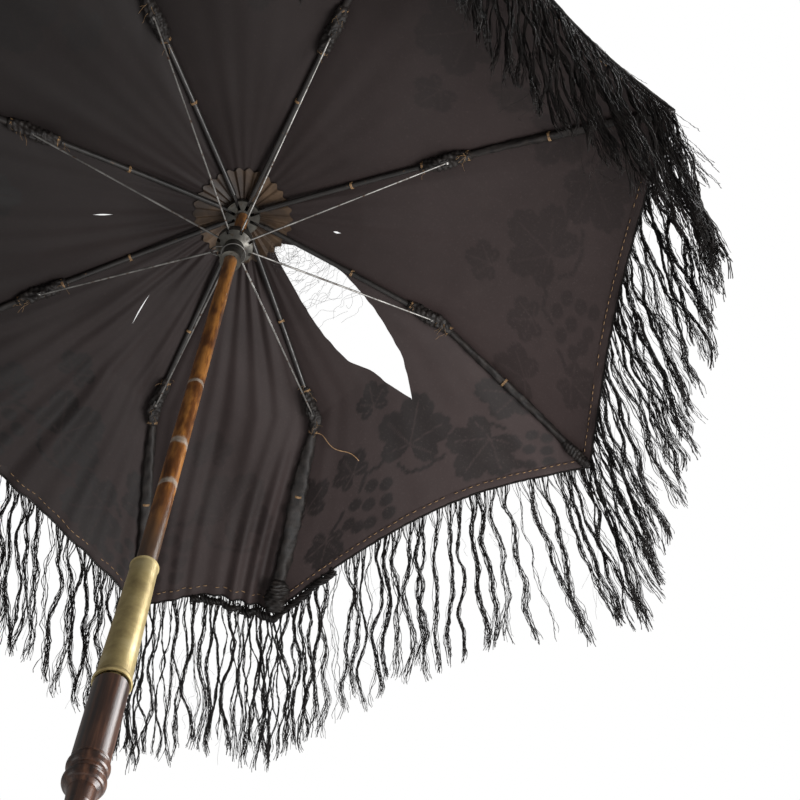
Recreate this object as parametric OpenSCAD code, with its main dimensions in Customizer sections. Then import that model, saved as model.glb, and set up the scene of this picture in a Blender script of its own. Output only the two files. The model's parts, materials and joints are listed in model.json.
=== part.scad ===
// A hand parasol with a folding stick: eight curved ribs and wire stretchers on a sliding runner,
// a silk canopy with a long hanging fringe, and a turned handle behind a sliding brass sleeve.
// Millimetres. The shaft frame has its origin where the ribs' pivots meet, +Z up the shaft to the
// ferrule. place() leans the shaft by the carrying angle and puts the middle of the grip at the origin,
// with +Z straight up, so that the fringe hangs down.

/* [Stick] */
// Lean of the shaft away from upright, in degrees
lean = 46; // [30:1:60]
// Diameter of the cane shaft
shaft_d = 8.2; // [7.8:0.1:8.4]
// Length of the brass sleeve that locks the fold
sleeve_len = 72; // [66:1:76]
// Distance from the rib pivots down to the sleeve's top edge
sleeve_top = 441; // [436:1:450]
// Diameter of the turned handle below the sleeve
handle_d = 12.6; // [12:0.1:13]
// Diameter of the grip
grip_d = 13; // [12:0.5:15]

/* [Ribs] */
// Radius of the ring that the ribs and stretchers turn on
ring_r = 9; // [8.8:0.1:9.4]
// Diameter of a rib's inner half
rib_d = 3.6; // [3.2:0.1:3.6]
// Diameter of a rib's outer half
rib_tip_d = 2.8; // [2.2:0.1:2.8]
// Length of a rib's inner half
rib_inner = 146; // [144:1:148]
// Length of a rib's outer half
rib_outer = 148; // [130:1:150]
// Length from a rib's pivot to its stretcher's pivot, and of a stretcher
link = 141; // [140.5:0.1:141.5]
// Angle of that link below level when the canopy is open
link_drop = 12.5; // [12:0.1:13]

/* [Cloth] */
// How far the hem curves in between two ribs, as a share of the rib
scallop = 0.07; // [0:0.01:0.1]
// Length of the fringe
fringe_len = 104; // [60:1:115]
// Where the tear between ribs 4 and 5 starts, as a share of the rib
tear_from = 0.07; // [0.06:0.01:0.2]
// Where the tear ends
tear_to = 0.62; // [0.4:0.01:0.65]

/* [Hidden] */

RIBS = 8;
step_az = 360 / RIBS;      // angle between two ribs
first_az = -109.3;         // azimuth of rib 1 in the shaft frame
clear = 0.05;              // running clearance on a radius
shaft_r = shaft_d / 2;
grip_z = -620;             // middle of the grip
sleeve_low = -sleeve_top - sleeve_len;
fold_z = sleeve_low + 9;   // the stick's fold, hidden in the sleeve
fork_y = 3.2;              // half width of the fold's ears and tongue
tongue_x = 1.5;            // half thickness of the tongue
ear_x = 4;                 // outer face of the fork's ears
pin_r = 1.2;
wire_r = 0.55;             // ring wires
eye_hole = wire_r + 0.1;   // the ring wire curves a little inside the eye
eye_r = 1.6;
eye_t = 1.6;
slot_w = 2.2;
crown_r = 12;
foot_r = 4.3;              // the straight end of the ferrule
lug_z = -2 * link * sin(link_drop);   // the stretchers' ring on the runner
rib_a0 = 7.5;              // a rib's slope below level at its pivot, at its middle and at its tip
rib_a1 = 13.5;
rib_a2 = 26;
rib_r1 = rib_inner / ((rib_a1 - rib_a0) * PI / 180);
rib_r2 = rib_outer / ((rib_a2 - rib_a1) * PI / 180);
rib_all = rib_inner + rib_outer;
flat_end = 8;              // the flat end of a rib that enters its slot
tip_len = 8;
barrel_at = 140;           // where the stretcher's joint sits along a rib
SWAY = [0, 0, 0, 14, 32, -20, 0, 0];    // how far each rib's outer half is bent sideways, in degrees
EASE = [1, 1, 0.4, 1, 0.5, 1, 1, 1];   // how much of the scallop each panel keeps
DOWN = [0, sin(lean), -cos(lean)];    // straight down, in the shaft frame
bead_drop = [40, 46.5];    // from the handle's top down to its two beads
bead_r = [1.6, 2.4];       // how far a bead stands out, and half its height
canopy_t = 1;
canopy_r0 = 10;            // the canopy's edge round the ferrule
cloth_gap = 0.2;           // half the gap between two gores
hem_lift = 3.1;            // the canopy above a rib's centreline
top_lift = 5.7;            // and above the rosette
fringe_t = 3;
fringe_start = 8;

function az(i) = first_az + step_az * (i - 1);
function bend(x0, z0, r, a0, a) = [x0 + r * (sin(a) - sin(a0)), z0 + r * (cos(a) - cos(a0))];
function inner_at(l) = bend(ring_r, 0, rib_r1, rib_a0, rib_a0 + (rib_a1 - rib_a0) * l / rib_inner);
function outer_at(l) = bend(0, 0, rib_r2, rib_a1, rib_a1 + (rib_a2 - rib_a1) * l / rib_outer);
function turned(p, a) = [p.x * cos(a) - p.y * sin(a), p.x * sin(a) + p.y * cos(a), p.z];
// a point on rib i's centreline, l millimetres from its pivot
function rib_at(i, l) =
    l <= rib_inner
        ? turned([inner_at(l)[0], 0, inner_at(l)[1]], az(i))
        : let (k = inner_at(rib_inner), o = outer_at(l - rib_inner),
               s = turned([o[0], 0, o[1]], SWAY[i - 1]))
          turned([k[0] + s.x, s.y, k[1] + s.z], az(i));
function wrap(i) = (i - 1 + RIBS) % RIBS + 1;

module place() {
    rotate([-lean, 0, 0]) translate([0, 0, -grip_z]) children();
}

// puts a part that is drawn in the XZ plane, along +X, at rib i
module at_rib(i) {
    place() rotate([0, 0, az(i)]) children();
}

// a cylinder along Y with its middle at the origin
module cross(r, len) {
    rotate([90, 0, 0]) cylinder(r = r, h = len, center = true, $fn = 32);
}

// a rod that bends down from slope a0 to slope a1 in the XZ plane, starting at p
module bent_rod(p, radius, a0, a1, r) {
    translate([p[0] - radius * sin(a0), 0, p[1] - radius * cos(a0)])
        rotate([90, 0, 0]) rotate([0, 0, 90 - a1])
            rotate_extrude(angle = a1 - a0, $fn = 720) translate([radius, 0]) circle(r = r, $fn = 32);
}

// Stick -------------------------------------------------------------------------------------------

module handle() {
    top = sleeve_low - 1;
    r = handle_d / 2;
    color([0.30, 0.17, 0.12]) place() rotate_extrude($fn = 64) polygon(concat(
        [[0, top], [r - 0.6, top], [r, top - 0.6], [r, top - bead_drop[0] + 3]],
        [for (d = bead_drop) each
            [for (a = [-80:20:80]) [r - 0.9 + bead_r[0] * cos(a), top - d - bead_r[1] * sin(a)]]],
        [[4.6, top - 50], [4.2, top - 56], [4.6, top - 62], [6, top - 68], [grip_d / 2, top - 74]],
        [[grip_d / 2, grip_z - 32]],
        [for (a = [30:-15:-75]) [8.4 * cos(a), grip_z - 42 + 11 * sin(a)]],
        [[0, grip_z - 42 + 11 * sin(-75)]]
    ));
}

module hinge_fork() {
    base = sleeve_low - 0.98;
    color([0.6, 0.5, 0.3]) place() difference() {
        union() {
            translate([0, 0, base]) cylinder(r = 4.6, h = 2.5, $fn = 48);
            translate([-ear_x, -fork_y, base]) cube([2 * ear_x, 2 * fork_y, fold_z - base]);
            translate([0, 0, fold_z]) rotate([0, 90, 0])
                cylinder(r = fork_y, h = 2 * ear_x, center = true, $fn = 48);
        }
        translate([-tongue_x - 0.2, -10, base + 2]) cube([2 * tongue_x + 0.4, 20, 30]);
        translate([0, 0, fold_z]) rotate([0, 90, 0])
            cylinder(r = pin_r + 0.01, h = 20, center = true, $fn = 48);
    }
}

module hinge_pin() {
    color([0.75, 0.7, 0.6]) place() translate([0, 0, fold_z]) rotate([0, 90, 0])
        cylinder(r = pin_r, h = 2 * ear_x, center = true, $fn = 48);
}

module hinge_tongue() {
    top = fold_z + 18;
    color([0.6, 0.5, 0.3]) place() difference() {
        union() {
            translate([-tongue_x, -fork_y, fold_z]) cube([2 * tongue_x, 2 * fork_y, top - fold_z]);
            translate([0, 0, fold_z]) rotate([0, 90, 0])
                cylinder(r = fork_y, h = 2 * tongue_x, center = true, $fn = 48);
            translate([0, 0, top - 4]) cylinder(r = shaft_r, h = 4, $fn = 48);
        }
        translate([0, 0, fold_z]) rotate([0, 90, 0])
            cylinder(r = pin_r + clear, h = 20, center = true, $fn = 48);
    }
}

module brass_sleeve() {
    top = -sleeve_top;
    low = sleeve_low;
    color([0.58, 0.52, 0.32]) place() rotate_extrude($fn = 64) polygon([
        [shaft_r + clear, top], [5.4, top], [5.8, top - 0.8], [5.4, top - 1.6],
        [6.25, low + 6], [6.5, low + 2.5], [7, low + 1], [7, low + 0.3], [6.6, low],
        [5.9, low + 0.2], [5.75, low + 2], [5.75, low + 16], [4.9, top - 8], [shaft_r + clear, top - 6]
    ]);
}

module shaft() {
    low = fold_z + 18.02;
    color([0.55, 0.33, 0.14]) place() translate([0, 0, low]) cylinder(r = shaft_r, h = 11.98 - low, $fn = 64);
}

module ferrule() {
    color([0.16, 0.12, 0.10]) place() difference() {
        rotate_extrude($fn = 64) polygon(concat(
            [[0, 7.5], [11, 7.5], [11.4, 8.3], [10.6, 9.2], [7.4, 10.2], [6.3, 13]],
            [[5.2, 24], [foot_r, 29], [foot_r, 42]],
            [for (a = [15:15:75]) [foot_r * cos(a), 42 + 3.2 * sin(a)]],
            [[0, 42 + 3.2 * sin(75)]]
        ));
        translate([0, 0, 7]) cylinder(r = shaft_r + 0.01, h = 5, $fn = 48);
    }
}

// Crown wheels ------------------------------------------------------------------------------------

// eight radial slots for the flat eyes, and a round channel for the ring wire
module crown_cuts(z) {
    for (i = [1:RIBS])
        rotate([0, 0, az(i)]) translate([5.6, -slot_w / 2, z - 15]) cube([20, slot_w, 30]);
    translate([0, 0, z]) rotate_extrude($fn = 96) translate([ring_r, 0]) circle(r = wire_r + 0.02, $fn = 24);
}

module ring_wire(z) {
    color([0.7, 0.68, 0.62]) place() translate([0, 0, z])
        rotate_extrude($fn = 96) translate([ring_r, 0]) circle(r = wire_r, $fn = 24);
}

module top_notch() {
    color([0.42, 0.40, 0.36]) place() difference() {
        translate([0, 0, -4]) cylinder(r = crown_r, h = 6.2, $fn = 64);
        crown_cuts(0);
        translate([0, 0, -10]) cylinder(r = shaft_r + 0.01, h = 30, $fn = 64);
    }
}

module notch_wire() {
    ring_wire(0);
}

module runner() {
    color([0.42, 0.40, 0.36]) place() difference() {
        rotate_extrude($fn = 64) polygon([
            [0, lug_z + 4], [crown_r, lug_z + 4], [crown_r, lug_z - 4], [6.6, lug_z - 6.5],
            [6.1, lug_z - 9], [6.1, lug_z - 28], [6.9, lug_z - 29], [6.9, lug_z - 31], [0, lug_z - 31]
        ]);
        difference() {
            crown_cuts(lug_z);
            translate([0, 0, lug_z - 45]) cylinder(r = 40, h = 40, $fn = 64);
        }
        translate([0, 0, lug_z - 50]) cylinder(r = shaft_r + clear, h = 80, $fn = 64);
    }
}

module runner_wire() {
    ring_wire(lug_z);
}

module rosette() {
    color([0.45, 0.32, 0.2]) place() rotate_extrude($fn = 64) polygon([
        [shaft_r + 0.5, 2.6], [crown_r, 2.6], [33, -1], [33, 0.2], [crown_r + 0.2, 3.8], [shaft_r + 0.5, 3.8]
    ]);
}

// Ribs and stretchers -----------------------------------------------------------------------------

module rib(i) {
    rod_start = inner_at(flat_end);
    a_start = rib_a0 + (rib_a1 - rib_a0) * flat_end / rib_inner;
    knee = inner_at(rib_inner);
    a_end = rib_a1 + (rib_a2 - rib_a1) * (rib_outer - tip_len) / rib_outer;
    color([0.16, 0.15, 0.15]) at_rib(i) {
        difference() {
            union() {
                translate([ring_r, 0, 0]) cross(eye_r, eye_t);
                translate([ring_r, 0, 0]) rotate([0, rib_a0, 0])
                    translate([0, -eye_t / 2, -eye_r]) cube([flat_end + 1, eye_t, 2 * eye_r]);
                bent_rod(rod_start, rib_r1, a_start, rib_a1, rib_d / 2);
                translate([knee[0], 0, knee[1]]) {
                    sphere(r = rib_d / 2, $fn = 32);
                    rotate([0, 0, SWAY[i - 1]]) bent_rod([0, 0], rib_r2, rib_a1, a_end, rib_tip_d / 2);
                }
            }
            translate([ring_r, 0, 0]) cross(eye_hole, 10);
        }
    }
}

module rib_joint(i) {
    p = inner_at(barrel_at);
    a = rib_a0 + (rib_a1 - rib_a0) * barrel_at / rib_inner;
    pivot = [ring_r + link * cos(link_drop), 0, -link * sin(link_drop)];
    color([0.12, 0.10, 0.09]) at_rib(i) {
        difference() {
            translate([p[0], 0, p[1]]) rotate([0, 90 + a, 0]) union() {
                cylinder(r = 2.4, h = 10, center = true, $fn = 32);
                for (side = [-1, 1])
                    translate([0, side * 1.6 - 0.5, -2]) cube([7, 1, 4]);
            }
            translate([p[0], 0, p[1]]) rotate([0, 90 + a, 0])
                cylinder(r = rib_d / 2 + 0.04, h = 20, center = true, $fn = 32);
        }
        translate(pivot) cross(0.6, 3.8);
    }
}

module rib_tip(i) {
    knee = inner_at(rib_inner);
    o = outer_at(rib_outer - tip_len);
    a = rib_a1 + (rib_a2 - rib_a1) * (rib_outer - tip_len) / rib_outer;
    eye = turned([o[0] + (tip_len - 2) * cos(a), 0, o[1] - (tip_len - 2) * sin(a)], SWAY[i - 1]);
    color([0.10, 0.09, 0.08]) at_rib(i) translate([knee[0], 0, knee[1]]) difference() {
        rotate([0, 0, SWAY[i - 1]]) translate([o[0], 0, o[1]]) rotate([0, 90 + a, 0])
            translate([0, 0, 0.02]) union() {
                cylinder(r = 2, h = tip_len - 2, $fn = 32);
                translate([0, 0, tip_len - 2]) sphere(r = 2, $fn = 32);
            }
        translate(eye) cross(0.6, 10);
    }
}

module stretcher(i) {
    color([0.62, 0.60, 0.57]) at_rib(i) translate([ring_r, 0, lug_z]) rotate([0, -link_drop, 0]) {
        for (x = [0, link]) difference() {
            translate([x, 0, 0]) cross(eye_r, eye_t);
            translate([x, 0, 0]) cross(x == 0 ? eye_hole : 0.65, 5);
        }
        translate([eye_r - 0.2, 0, 0]) rotate([0, 90, 0])
            cylinder(r = 0.65, h = link - 2 * eye_r + 0.4, $fn = 24);
    }
}

// Cloth -------------------------------------------------------------------------------------------

function ramp(x) = max(0, min(1, x));
// the tear's two edges, as shares of the way from rib 4 to rib 5, where t goes from 0 to 1 along it
function tear_near(t) = 0.05 + 0.24 * ramp((t - 0.3) / 0.43) + 0.08 * ramp((t - 0.73) / 0.27);
function tear_far(t) = 0.57 + 0.09 * sin(180 * min(t / 0.75, 1)) - 0.2 * pow(ramp((t - 0.65) / 0.35), 1.2);
// the share of the way from rib i to the next one (v > 0) or the last one (v < 0) that a gore reaches
function reach(i, v, l) =
    let (w = norm(rib_at(i, l) - rib_at(wrap(i + sign(v)), l)),
         t = (l / rib_all - tear_from) / (tear_to - tear_from),
         torn = t > 0 && t < 1,
         open = torn ? pow(ramp(t / 0.1), 0.6) : 0)
    0.5 - cloth_gap / max(w, 1) + open * (
        i == 4 && v > 0 ? tear_near(t) - 0.5
        : i == 5 && v < 0 ? 0.5 - tear_far(t)
        : 0);
function lift(r) = hem_lift + (top_lift - hem_lift) * max(0, min(1, 1 - (r - 34) / 50));
// a point of gore i, at v from -1 to 1 across it and l along it
function gore_at(i, v, l) =
    let (u = v == 0 ? 0 : abs(v) * reach(i, v, l),
         p = rib_at(i, l), q = rib_at(wrap(i + (v == 0 ? 1 : sign(v))), l),
         m = p + (q - p) * u)
    m + [0, 0, lift(norm([m.x, m.y]))];
function hem_l(i, v) = rib_all * (1 - scallop * EASE[wrap(v < 0 ? i - 1 : i) - 1] * (1 - pow(1 - abs(v), 2)));

// a sheet of the given thickness: rows of points, each moved by half the thickness to either side
module sheet(rows, side) {
    n = len(rows);
    m = len(rows[0]);
    pts = concat([for (r = rows) for (p = r) p + side(p) / 2], [for (r = rows) for (p = r) p - side(p) / 2]);
    top = n * m;
    faces = concat(
        [for (a = [0:n - 2]) for (b = [0:m - 2]) each [
            [a * m + b, a * m + b + 1, (a + 1) * m + b + 1],
            [a * m + b, (a + 1) * m + b + 1, (a + 1) * m + b],
            [top + a * m + b, top + (a + 1) * m + b + 1, top + a * m + b + 1],
            [top + a * m + b, top + (a + 1) * m + b, top + (a + 1) * m + b + 1]]],
        [for (b = [0:m - 2]) each [
            [b, top + b, top + b + 1], [b, top + b + 1, b + 1],
            [(n - 1) * m + b, top + (n - 1) * m + b + 1, top + (n - 1) * m + b],
            [(n - 1) * m + b, (n - 1) * m + b + 1, top + (n - 1) * m + b + 1]]],
        [for (a = [0:n - 2]) each [
            [a * m, top + (a + 1) * m, top + a * m], [a * m, (a + 1) * m, top + (a + 1) * m],
            [a * m + m - 1, top + a * m + m - 1, top + (a + 1) * m + m - 1],
            [a * m + m - 1, top + (a + 1) * m + m - 1, (a + 1) * m + m - 1]]]
    );
    polyhedron(points = pts, faces = faces, convexity = 4);
}

module canopy(i) {
    l0 = canopy_r0 - ring_r;
    rows = [for (k = [0:14]) [for (v = [-1:0.25:1]) gore_at(i, v, l0 + (hem_l(i, v) - l0) * k / 14)]];
    color([0.17, 0.14, 0.13]) place() sheet(rows, function (p) [0, 0, canopy_t]);
}

module fringe(i) {
    out = function (p) let (d = norm([p.x, p.y])) [p.x / d, p.y / d, 0] * fringe_t;
    rows = [for (k = [0:4]) [for (v = [-1:0.125:1])
        let (h = gore_at(i, v, hem_l(i, v)), d = norm([h.x, h.y]))
        h + [h.x, h.y, 0] / d * (fringe_t / 2 + 1)
            + DOWN * (fringe_start + (fringe_len - fringe_start) * k / 4)]];
    color([0.09, 0.07, 0.06]) place() sheet(rows, out);
}

handle();
hinge_fork();
hinge_pin();
hinge_tongue();
brass_sleeve();
shaft();
top_notch();
notch_wire();
ferrule();
rosette();
runner();
runner_wire();
for (i = [1:RIBS]) {
    rib(i);
    rib_joint(i);
    rib_tip(i);
    stretcher(i);
    canopy(i);
    fringe(i);
}
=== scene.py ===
"""Looks for the folding silk parasol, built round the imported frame.

Shapes are worked out in the shaft frame (origin where the ribs' pivots meet, Z up the shaft) in metres,
and row() turns them into the row frame, where Z is straight up and the middle of the grip is the origin.
"""
import json
import math

import bpy
import numpy as np
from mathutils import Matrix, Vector


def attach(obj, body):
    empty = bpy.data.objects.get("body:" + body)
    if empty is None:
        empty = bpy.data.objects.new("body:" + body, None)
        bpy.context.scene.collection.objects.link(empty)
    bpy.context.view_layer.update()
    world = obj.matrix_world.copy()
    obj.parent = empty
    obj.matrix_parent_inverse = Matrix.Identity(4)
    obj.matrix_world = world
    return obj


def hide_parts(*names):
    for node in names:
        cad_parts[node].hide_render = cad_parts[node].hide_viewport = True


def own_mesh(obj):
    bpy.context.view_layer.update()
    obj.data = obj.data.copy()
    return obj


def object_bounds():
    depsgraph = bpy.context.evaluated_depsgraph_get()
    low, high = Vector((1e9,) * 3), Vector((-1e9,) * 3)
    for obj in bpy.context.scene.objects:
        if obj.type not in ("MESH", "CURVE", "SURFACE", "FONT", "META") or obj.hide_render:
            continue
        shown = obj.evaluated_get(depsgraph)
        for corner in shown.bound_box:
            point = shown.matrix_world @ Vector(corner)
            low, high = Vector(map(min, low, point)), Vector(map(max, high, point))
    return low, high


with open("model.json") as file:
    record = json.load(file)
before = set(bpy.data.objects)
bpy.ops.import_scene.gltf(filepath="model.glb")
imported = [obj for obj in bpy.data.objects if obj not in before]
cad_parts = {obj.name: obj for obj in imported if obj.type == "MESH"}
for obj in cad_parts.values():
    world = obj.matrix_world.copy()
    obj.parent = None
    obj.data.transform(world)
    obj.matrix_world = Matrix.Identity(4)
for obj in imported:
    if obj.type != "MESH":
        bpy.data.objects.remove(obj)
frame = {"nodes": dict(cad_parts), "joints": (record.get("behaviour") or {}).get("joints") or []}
cad_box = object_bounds()

MM = 0.001
JOINTS = {j["name"]: j for j in frame["joints"]}

# ---------------------------------------------------------------------------------------------------
# The frame's geometry

RIBS = 8
RING = 9 * MM               # radius of the ring that the ribs turn on
RIB_INNER = 146 * MM
RIB_OUTER = 148 * MM
RIB_ALL = RIB_INNER + RIB_OUTER
SLOPES = [math.radians(a) for a in (7.5, 13.5, 26)]     # a rib's slope at its pivot, knee and tip
SWAY = [math.radians(a) for a in (0, 0, 0, 14, 32, -20, 0, 0)]      # sideways bend of each rib's outer half
SCALLOP = 0.07              # how far the hem dips between two ribs, as a share of the rib,
EASE = [1, 1, 0.4, 1, 0.5, 1, 1, 1]     # and how much of that each panel keeps
ROD_OUTER = 1.4 * MM        # radius of a rib's outer half
CLOTH_SIDE = 2.1 * MM       # as far as a rib's wrappings reach towards the cloth
CLOTH_START = 1.5 * MM      # where the cloth starts, along a rib
HEM_LIFT = 2.7 * MM         # the cloth's height above a rib's centreline, out to the hem,
TOP_LIFT = 5.6 * MM         # and at the crown
CROWN, CROWN_FADE = 0.034, 0.05         # radius of the crown, and the way over which the cloth comes down
DROP = np.array([0, 0, -1.0])

FOLDS = ["canopy_fold"] + [f"rib_{i}_fold" for i in range(2, RIBS + 1)]     # each rib's own joint
pivots = [np.array(JOINTS[fold]["pos_m"]) for fold in FOLDS]
tangents = [np.array(JOINTS[fold]["axis"]) for fold in FOLDS]
HUB = np.mean(pivots, axis=0)
UP = np.cross(tangents[2], tangents[0])          # up the shaft
UP /= np.linalg.norm(UP)
UP *= np.sign(UP[2])
SIDE = np.array([1.0, 0.0, 0.0])
DEPTH = np.cross(UP, SIDE)                       # shaft frame's Y
TURN = np.array([SIDE, DEPTH, UP])               # rows are the shaft frame's axes
LEAN = math.acos(UP[2])


def row(points):
    """Shaft frame to row frame."""
    return HUB + np.asarray(points, float) @ TURN


def shaft(points):
    """Row frame to shaft frame."""
    return (np.asarray(points, float) - HUB) @ TURN.T


AZIMUTH = [math.atan2(p[1], p[0]) for p in shaft(pivots)]


def ramp(x):
    return np.clip(x, 0, 1)


def bend(radius, start, angle):
    """How far out and up an arc goes, as its slope turns from start to angle."""
    return radius * (np.sin(angle) - math.sin(start)), radius * (np.cos(angle) - math.cos(start))


def rib_at(i, along):
    """Points on rib i's centreline (0 to 7), at the given lengths from its pivot."""
    along = np.atleast_1d(np.asarray(along, float))
    a0, a1, a2 = SLOPES
    first, second = RIB_INNER / (a1 - a0), RIB_OUTER / (a2 - a1)
    inner = np.minimum(along, RIB_INNER)
    x, z = bend(first, a0, a0 + (a1 - a0) * inner / RIB_INNER)
    outer = np.maximum(along - RIB_INNER, 0)
    ox, oz = bend(second, a1, a1 + (a2 - a1) * outer / RIB_OUTER)
    x, y, z = x + RING + ox * math.cos(SWAY[i]), ox * math.sin(SWAY[i]), z + oz
    c, s = math.cos(AZIMUTH[i]), math.sin(AZIMUTH[i])
    return np.stack([x * c - y * s, x * s + y * c, z], -1)


def lift(radius):
    """The cloth's height above the ribs' centrelines, at a distance from the shaft."""
    return HEM_LIFT + (TOP_LIFT - HEM_LIFT) * np.clip(1 - (radius - CROWN) / CROWN_FADE, 0, 1)


def hem_length(panel, u):
    """How far along the ribs the hem is, u of the way across a panel (u = 0 at its first rib)."""
    return RIB_ALL * (1 - SCALLOP * EASE[panel] * (1 - (1 - 2 * np.minimum(u, 1 - u)) ** 2))


TEAR_FROM, TEAR_TO = 0.07, 0.62         # the tear between ribs 4 and 5, as shares of the rib
# small slits, by panel (0 to 7): start and end as shares of the rib, place across the panel at each end,
# and half width
SLITS = {6: (0.296, 0.34, 0.497, 0.497, 0.006), 2: (0.205, 0.222, 0.583, 0.583, 0.014),
         5: (0.286, 0.371, 0.555, 0.468, 0.0045)}
EASE_BACK = 0.08        # over this share of the rib, the seam between two gores comes back to mid panel


def tear_edges(share):
    """The two sides of the tear, from 0 at rib 4 to 1 at rib 5, at a share of the rib's length."""
    t = ramp((share - TEAR_FROM) / (TEAR_TO - TEAR_FROM))
    near = 0.05 + 0.24 * ramp((t - 0.3) / 0.43) + 0.08 * ramp((t - 0.73) / 0.27)
    far = 0.57 + 0.09 * np.sin(np.pi * np.minimum(t / 0.75, 1)) - 0.2 * ramp((t - 0.65) / 0.35) ** 1.2
    ragged = 0.006 * summed(waves(71, 6, 60, 260), share) * np.sin(np.pi * t)
    opening = ramp(t / 0.1) ** 0.6 * (1 - ramp((share - TEAR_TO) / EASE_BACK))
    return 0.5 + (near - 0.5 + ragged) * opening, 0.5 + (far - 0.5 + ragged) * opening


def seam(panel, share):
    """How far across a panel its two gores reach: the first one's edge and the second one's."""
    if panel == 3:
        return tear_edges(share)
    if panel not in SLITS:
        return np.full_like(share, 0.5), np.full_like(share, 0.5)
    start, end, first, last, half = SLITS[panel]
    middle = np.interp(share, [start - EASE_BACK, start, end, end + EASE_BACK], [0.5, first, last, 0.5])
    gap = half * np.sin(np.pi * ramp((share - start) / (end - start)))
    return middle - gap, middle + gap


def waves(seed, count, low, high):
    """Random sine waves as (frequency, phase, weight)."""
    r = np.random.default_rng(seed)
    return [(r.uniform(low, high), r.uniform(0, 2 * math.pi), r.uniform(0.4, 1)) for _ in range(count)]


def summed(set_of_waves, x):
    total = sum(w for _, _, w in set_of_waves)
    return sum(w * np.sin(f * x + p) for f, p, w in set_of_waves) / total


PULLS = [1.2, 1.3, 1.2, 1.1, 2.8, 2.4, 1.4, 1.4]        # how strongly each panel is creased,
PLEATS = [0, 0, 0, 0.1, 1.3, 1.0, 0.2, 0]               # and how much its hem is gathered


def crease(panel, u, share):
    """How far the cloth stands off the straight chord between two ribs: radial creases and a slack belly."""
    across = 4 * u * (1 - u)
    fine = summed(waves(10 + panel, 5, 18, 46), u) * (0.55 - 0.35 * share)
    broad = summed(waves(30 + panel, 4, 5, 13), u + 0.15 * share) * (0.35 + 0.9 * share ** 2)
    drift = summed(waves(50 + panel, 3, 2, 6), share * 3 + 2 * u) * 0.5
    edge = np.clip(across * 2.5, 0, 1) * np.clip(share * 7, 0, 1)
    gathered = summed(waves(70 + panel, 7, 14, 62), u + 0.05 * np.sin(share * 5))
    gathered = gathered * ramp(share * 1.5 - 0.25) * 3.2
    return ((fine * 0.9 + broad * 1.5 + drift) * PULLS[panel] + gathered * PLEATS[panel]) * MM * edge


def cloth_at(panel, u, along):
    """Points of the cloth in a panel, u of the way from its first rib to its second, in the shaft frame."""
    p, q = rib_at(panel, along), rib_at((panel + 1) % RIBS, along)
    u = np.asarray(u)
    m = p * (1 - u[..., None]) + q * u[..., None]
    share = along / RIB_ALL
    belly = -2.2 * MM * 4 * u * (1 - u) * np.sin(np.pi * np.clip(share, 0, 1)) * (2 - share)
    m[..., 2] += lift(np.hypot(m[..., 0], m[..., 1])) + crease(panel, u, share) + belly
    return m


# ---------------------------------------------------------------------------------------------------
# Meshes

def piece(name, verts, faces, material):
    """A new smooth-shaded object from points in the row frame."""
    mesh = bpy.data.meshes.new(name)
    mesh.from_pydata([tuple(v) for v in np.asarray(verts, float)], [], [tuple(f) for f in faces])
    mesh.polygons.foreach_set("use_smooth", [True] * len(mesh.polygons))
    mesh.validate()
    mesh.update()
    obj = bpy.data.objects.new(name, mesh)
    bpy.context.scene.collection.objects.link(obj)
    mesh.materials.append(material)
    return obj


def grid_faces(rows, cols):
    a = np.arange(rows - 1)[:, None] * cols + np.arange(cols - 1)[None, :]
    return np.stack([a, a + 1, a + cols + 1, a + cols], -1).reshape(-1, 4).tolist()


def ring_faces(rings, sides):
    """Faces between rings of points, each ring closed on itself."""
    return [[k * sides + j, k * sides + (j + 1) % sides, (k + 1) * sides + (j + 1) % sides, (k + 1) * sides + j]
            for k in range(rings - 1) for j in range(sides)]


def run_of(line):
    """The length along a line of points, at each of them."""
    return np.concatenate([[0], np.cumsum(np.linalg.norm(np.diff(line, axis=0), axis=-1))])


def points_on(line, steps, at):
    """Points at given lengths along a line, whose own points are at the lengths in steps."""
    return np.stack([np.interp(at, steps, line[:, c]) for c in range(3)], -1)


def frames(path):
    """Two unit vectors across each point of a path (or of many paths, with the points on axis -2)."""
    t = np.gradient(path, axis=-2)
    t /= np.linalg.norm(t, axis=-1, keepdims=True) + 1e-12
    ref = np.where(np.abs(t[..., 2:3]) > 0.9, [1.0, 0, 0], [0, 0, 1.0])
    a = np.cross(t, ref)
    a /= np.linalg.norm(a, axis=-1, keepdims=True) + 1e-12
    return a, np.cross(t, a)


def tubes(paths, radii, sides=4, across=None):
    """Verts and faces of one tube round each path. paths is (n, k, 3), radii broadcasts to (n, k)."""
    paths = np.asarray(paths, float)
    n, k = paths.shape[:2]
    radii = np.broadcast_to(radii, (n, k))
    a, b = across if across else frames(paths)
    a, b = np.broadcast_to(a, paths.shape), np.broadcast_to(b, paths.shape)
    phi = np.arange(sides) * 2 * math.pi / sides
    ring = np.cos(phi)[:, None] * a[:, :, None, :] + np.sin(phi)[:, None] * b[:, :, None, :]
    verts = (paths[:, :, None, :] + radii[:, :, None, None] * ring).reshape(-1, 3)
    base = (np.arange(n)[:, None, None] * k + np.arange(k - 1)[None, :, None]) * sides
    s = np.arange(sides)[None, None, :]
    nxt = (s + 1) % sides
    quads = np.stack([base + s, base + nxt, base + sides + nxt, base + sides + s], -1).reshape(-1, 4)
    caps = []
    for e in (0, k - 1):
        ring0 = (np.arange(n) * k + e) * sides
        caps += [[int(r + j) for j in (range(sides) if e else reversed(range(sides)))] for r in ring0]
    return verts, quads.tolist() + caps


def joined(parts):
    """Several (verts, faces) as one."""
    verts, faces, first = [], [], 0
    for v, f in parts:
        verts.append(np.asarray(v))
        faces += [[i + first for i in face] for face in f]
        first += len(v)
    return np.vstack(verts), faces


# ---------------------------------------------------------------------------------------------------
# Materials

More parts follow.
